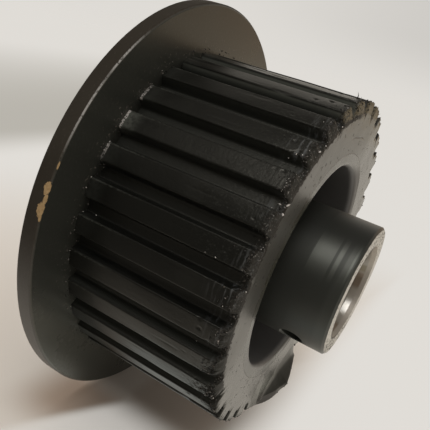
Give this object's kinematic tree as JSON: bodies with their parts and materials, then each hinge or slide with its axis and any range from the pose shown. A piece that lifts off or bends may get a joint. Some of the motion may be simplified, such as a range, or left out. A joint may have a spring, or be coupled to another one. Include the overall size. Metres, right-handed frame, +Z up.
{
  "type": "drive wheel",
  "caption": "Flanged drive wheel with a ribbed rubber tread on a steel drum, a guide flange at the back and a set-screw hub with a shaft bore.",
  "frame": {"origin": "on the bore's axis, at the middle of the tread's width", "axes": "the axle lies along Y, the hub points to -Y and the flange is at +Y, +Z up"},
  "size_m": [0.16, 0.0855, 0.16],
  "materials": {
    "tread_rubber": "satin black, smoother on the cut end face",
    "flange_paint": "worn satin black",
    "drum_steel": "dark turned steel",
    "hub_steel": "black oxide, bare on the end face and in the bore",
    "screw_steel": "black oxide",
    "washer_zinc": "dull zinc"
  },
  "bodies": {
    "wheel": {"rubber_tread": "tread_rubber", "rear_flange": "flange_paint", "core_drum": "drum_steel", "hub": "hub_steel", "hub_screw_1": "screw_steel", "hub_screw_2": "screw_steel", "hub_screw_3": "screw_steel", "hub_screw_4": "screw_steel", "hub_screw_5": "screw_steel", "hub_screw_6": "screw_steel", "hub_washer_1": "washer_zinc", "hub_washer_2": "washer_zinc", "hub_washer_3": "washer_zinc", "hub_washer_4": "washer_zinc", "hub_washer_5": "washer_zinc", "hub_washer_6": "washer_zinc", "flange_screw_1": "screw_steel", "flange_screw_2": "screw_steel", "flange_screw_3": "screw_steel", "flange_screw_4": "screw_steel", "flange_screw_5": "screw_steel", "flange_screw_6": "screw_steel"},
    "first_set_screw": {"set_screw_1": "screw_steel"},
    "second_set_screw": {"set_screw_2": "screw_steel"}
  },
  "joints": [
    {"name": "first_set_screw_travel", "type": "slide", "parent": "wheel", "child": "first_set_screw", "axis": [-0.6428, 0, -0.766], "range_m": [-0.001, 0.0045]},
    {"name": "second_set_screw_travel", "type": "slide", "parent": "wheel", "child": "second_set_screw", "axis": [0.766, 0, -0.6428], "range_m": [-0.001, 0.0045]}
  ]
}
